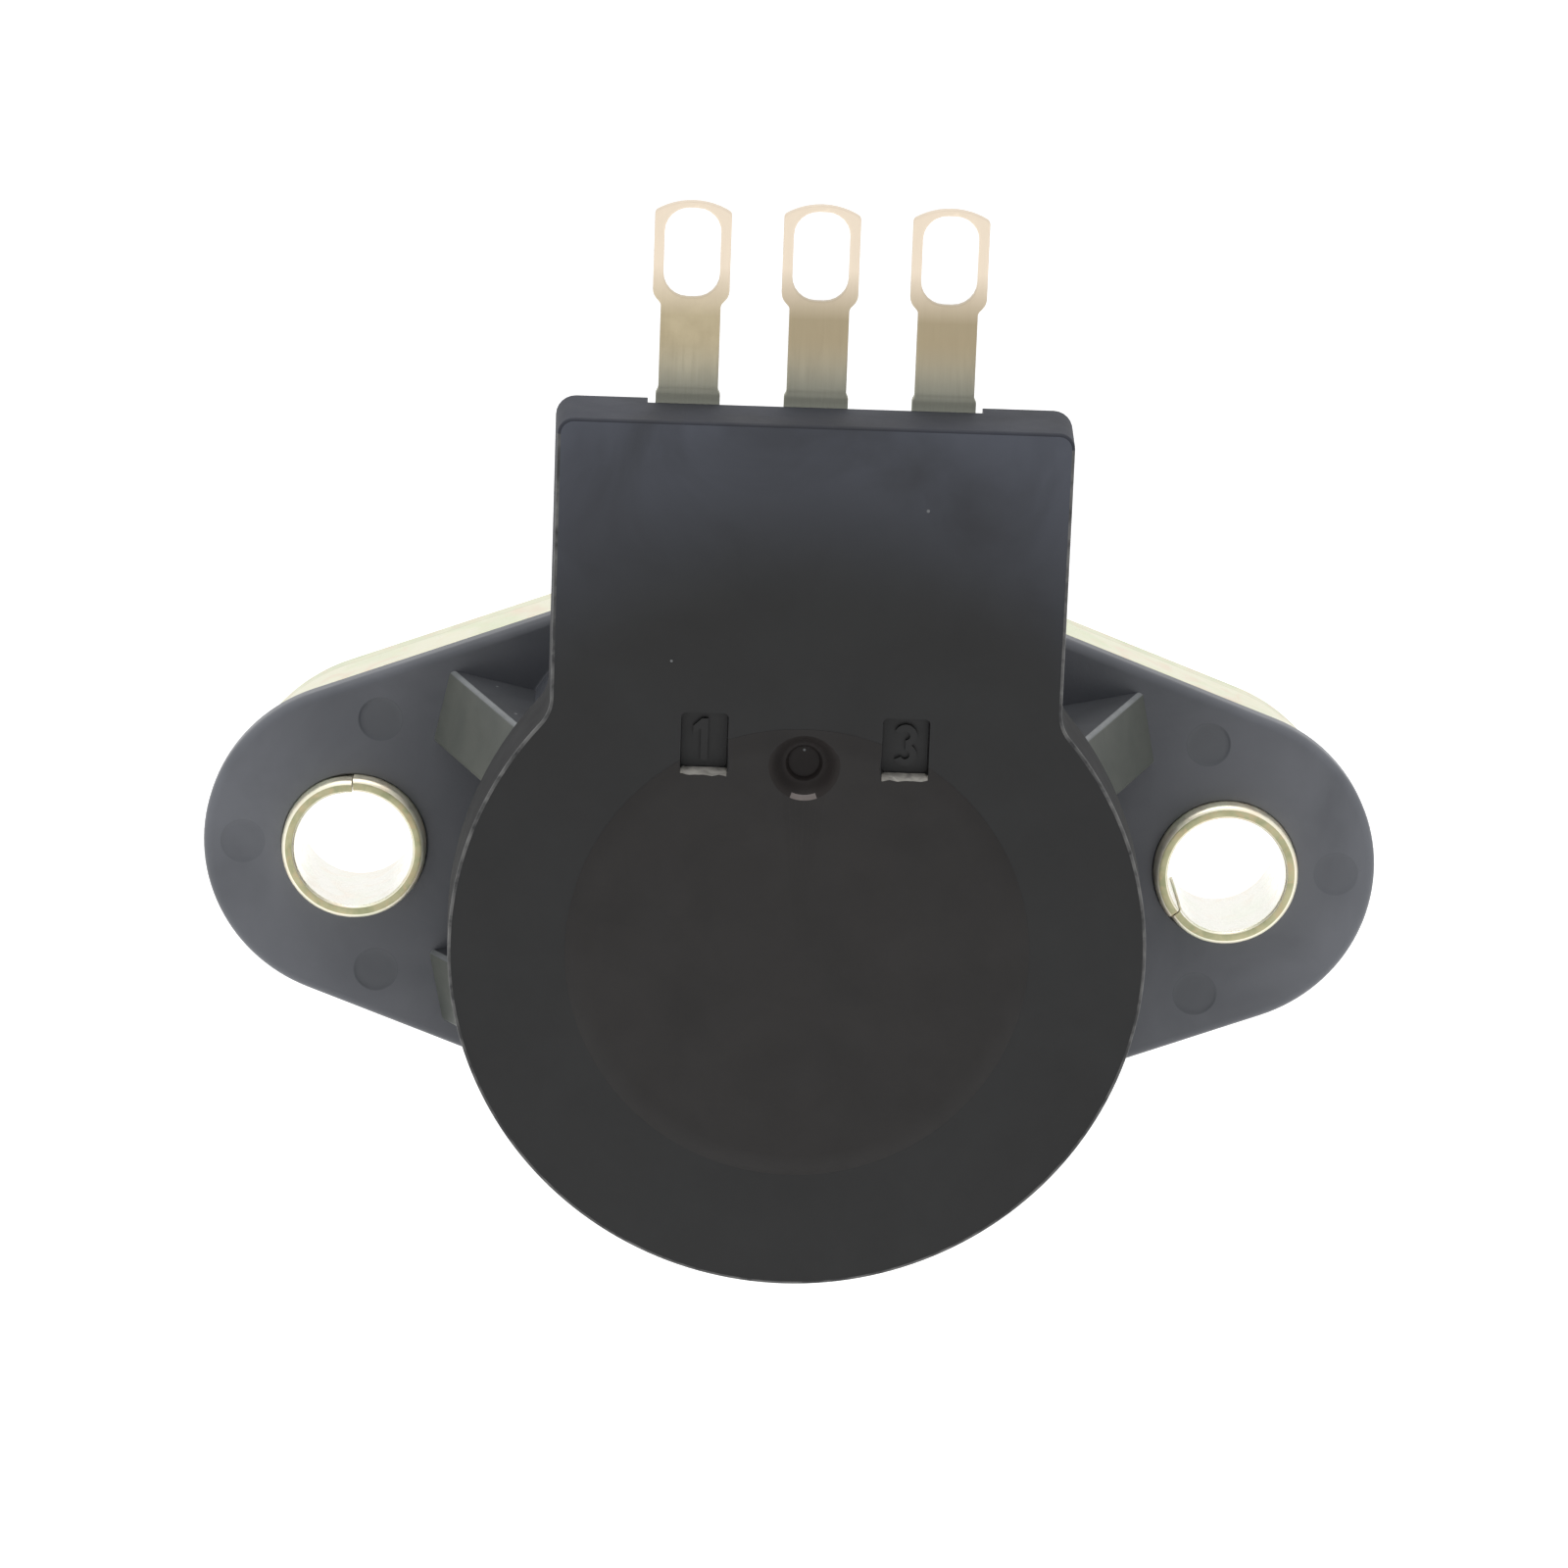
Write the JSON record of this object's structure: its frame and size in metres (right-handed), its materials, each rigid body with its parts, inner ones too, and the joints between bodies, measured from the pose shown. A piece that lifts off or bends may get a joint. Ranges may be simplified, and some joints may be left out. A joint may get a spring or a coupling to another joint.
{
  "type": "throttle potentiometer",
  "caption": "Rotary throttle potentiometer: round moulded case on a two-eared flange, solder lugs on a square block, and a D shaft.",
  "frame": {"origin": "where the shaft's axis meets the mounting plane, which is the front face of the steel plate", "axes": "+Y along the shaft, towards its free end; +Z towards the terminals; +X to the right as seen from behind"},
  "size_m": [0.0498, 0.0336, 0.0439],
  "materials": {
    "black_moulding": "moulded black, fine satin",
    "cover_moulding": "moulded black, fine satin",
    "yellow_zinc": "pale yellow zinc plate",
    "collar_zinc": "pale yellow zinc plate, rolled",
    "terminal_brass": "pale brass, stamped",
    "bush_brass": "turned brass",
    "shaft_steel": "turned and ground steel",
    "spring_steel": "dark spring steel",
    "bronze": "phosphor bronze, stamped",
    "seal_rubber": "matte black rubber",
    "laminate": "brown paper laminate",
    "carbon": "printed carbon film",
    "silver": "printed silver film",
    "resin": "cast dark resin",
    "carrier_moulding": "natural moulded plastic"
  },
  "bodies": {
    "case": {"mounting_plate": "yellow_zinc", "housing": "black_moulding", "left_collar": "collar_zinc", "right_collar": "collar_zinc", "rear_cover": "cover_moulding", "bearing_bush": "bush_brass", "element_substrate": "laminate", "resistive_track": "carbon", "collector_track": "silver", "terminal_1": "terminal_brass", "terminal_2": "terminal_brass", "terminal_3": "terminal_brass", "terminal_rivet_1": "bush_brass", "terminal_rivet_2": "bush_brass", "terminal_rivet_3": "bush_brass", "terminal_seal": "resin"},
    "rotor": {"shaft": "shaft_steel", "shaft_o_ring": "seal_rubber", "thrust_washer": "spring_steel", "spring_washer": "spring_steel", "retaining_ring": "spring_steel", "rotor_carrier": "carrier_moulding", "wiper": "bronze"}
  },
  "joints": [
    {"name": "shaft_turn", "type": "hinge", "parent": "case", "child": "rotor", "pos_m": [0, 0, 0], "axis": [0, 1, 0], "range_deg": [-150, 150]}
  ]
}
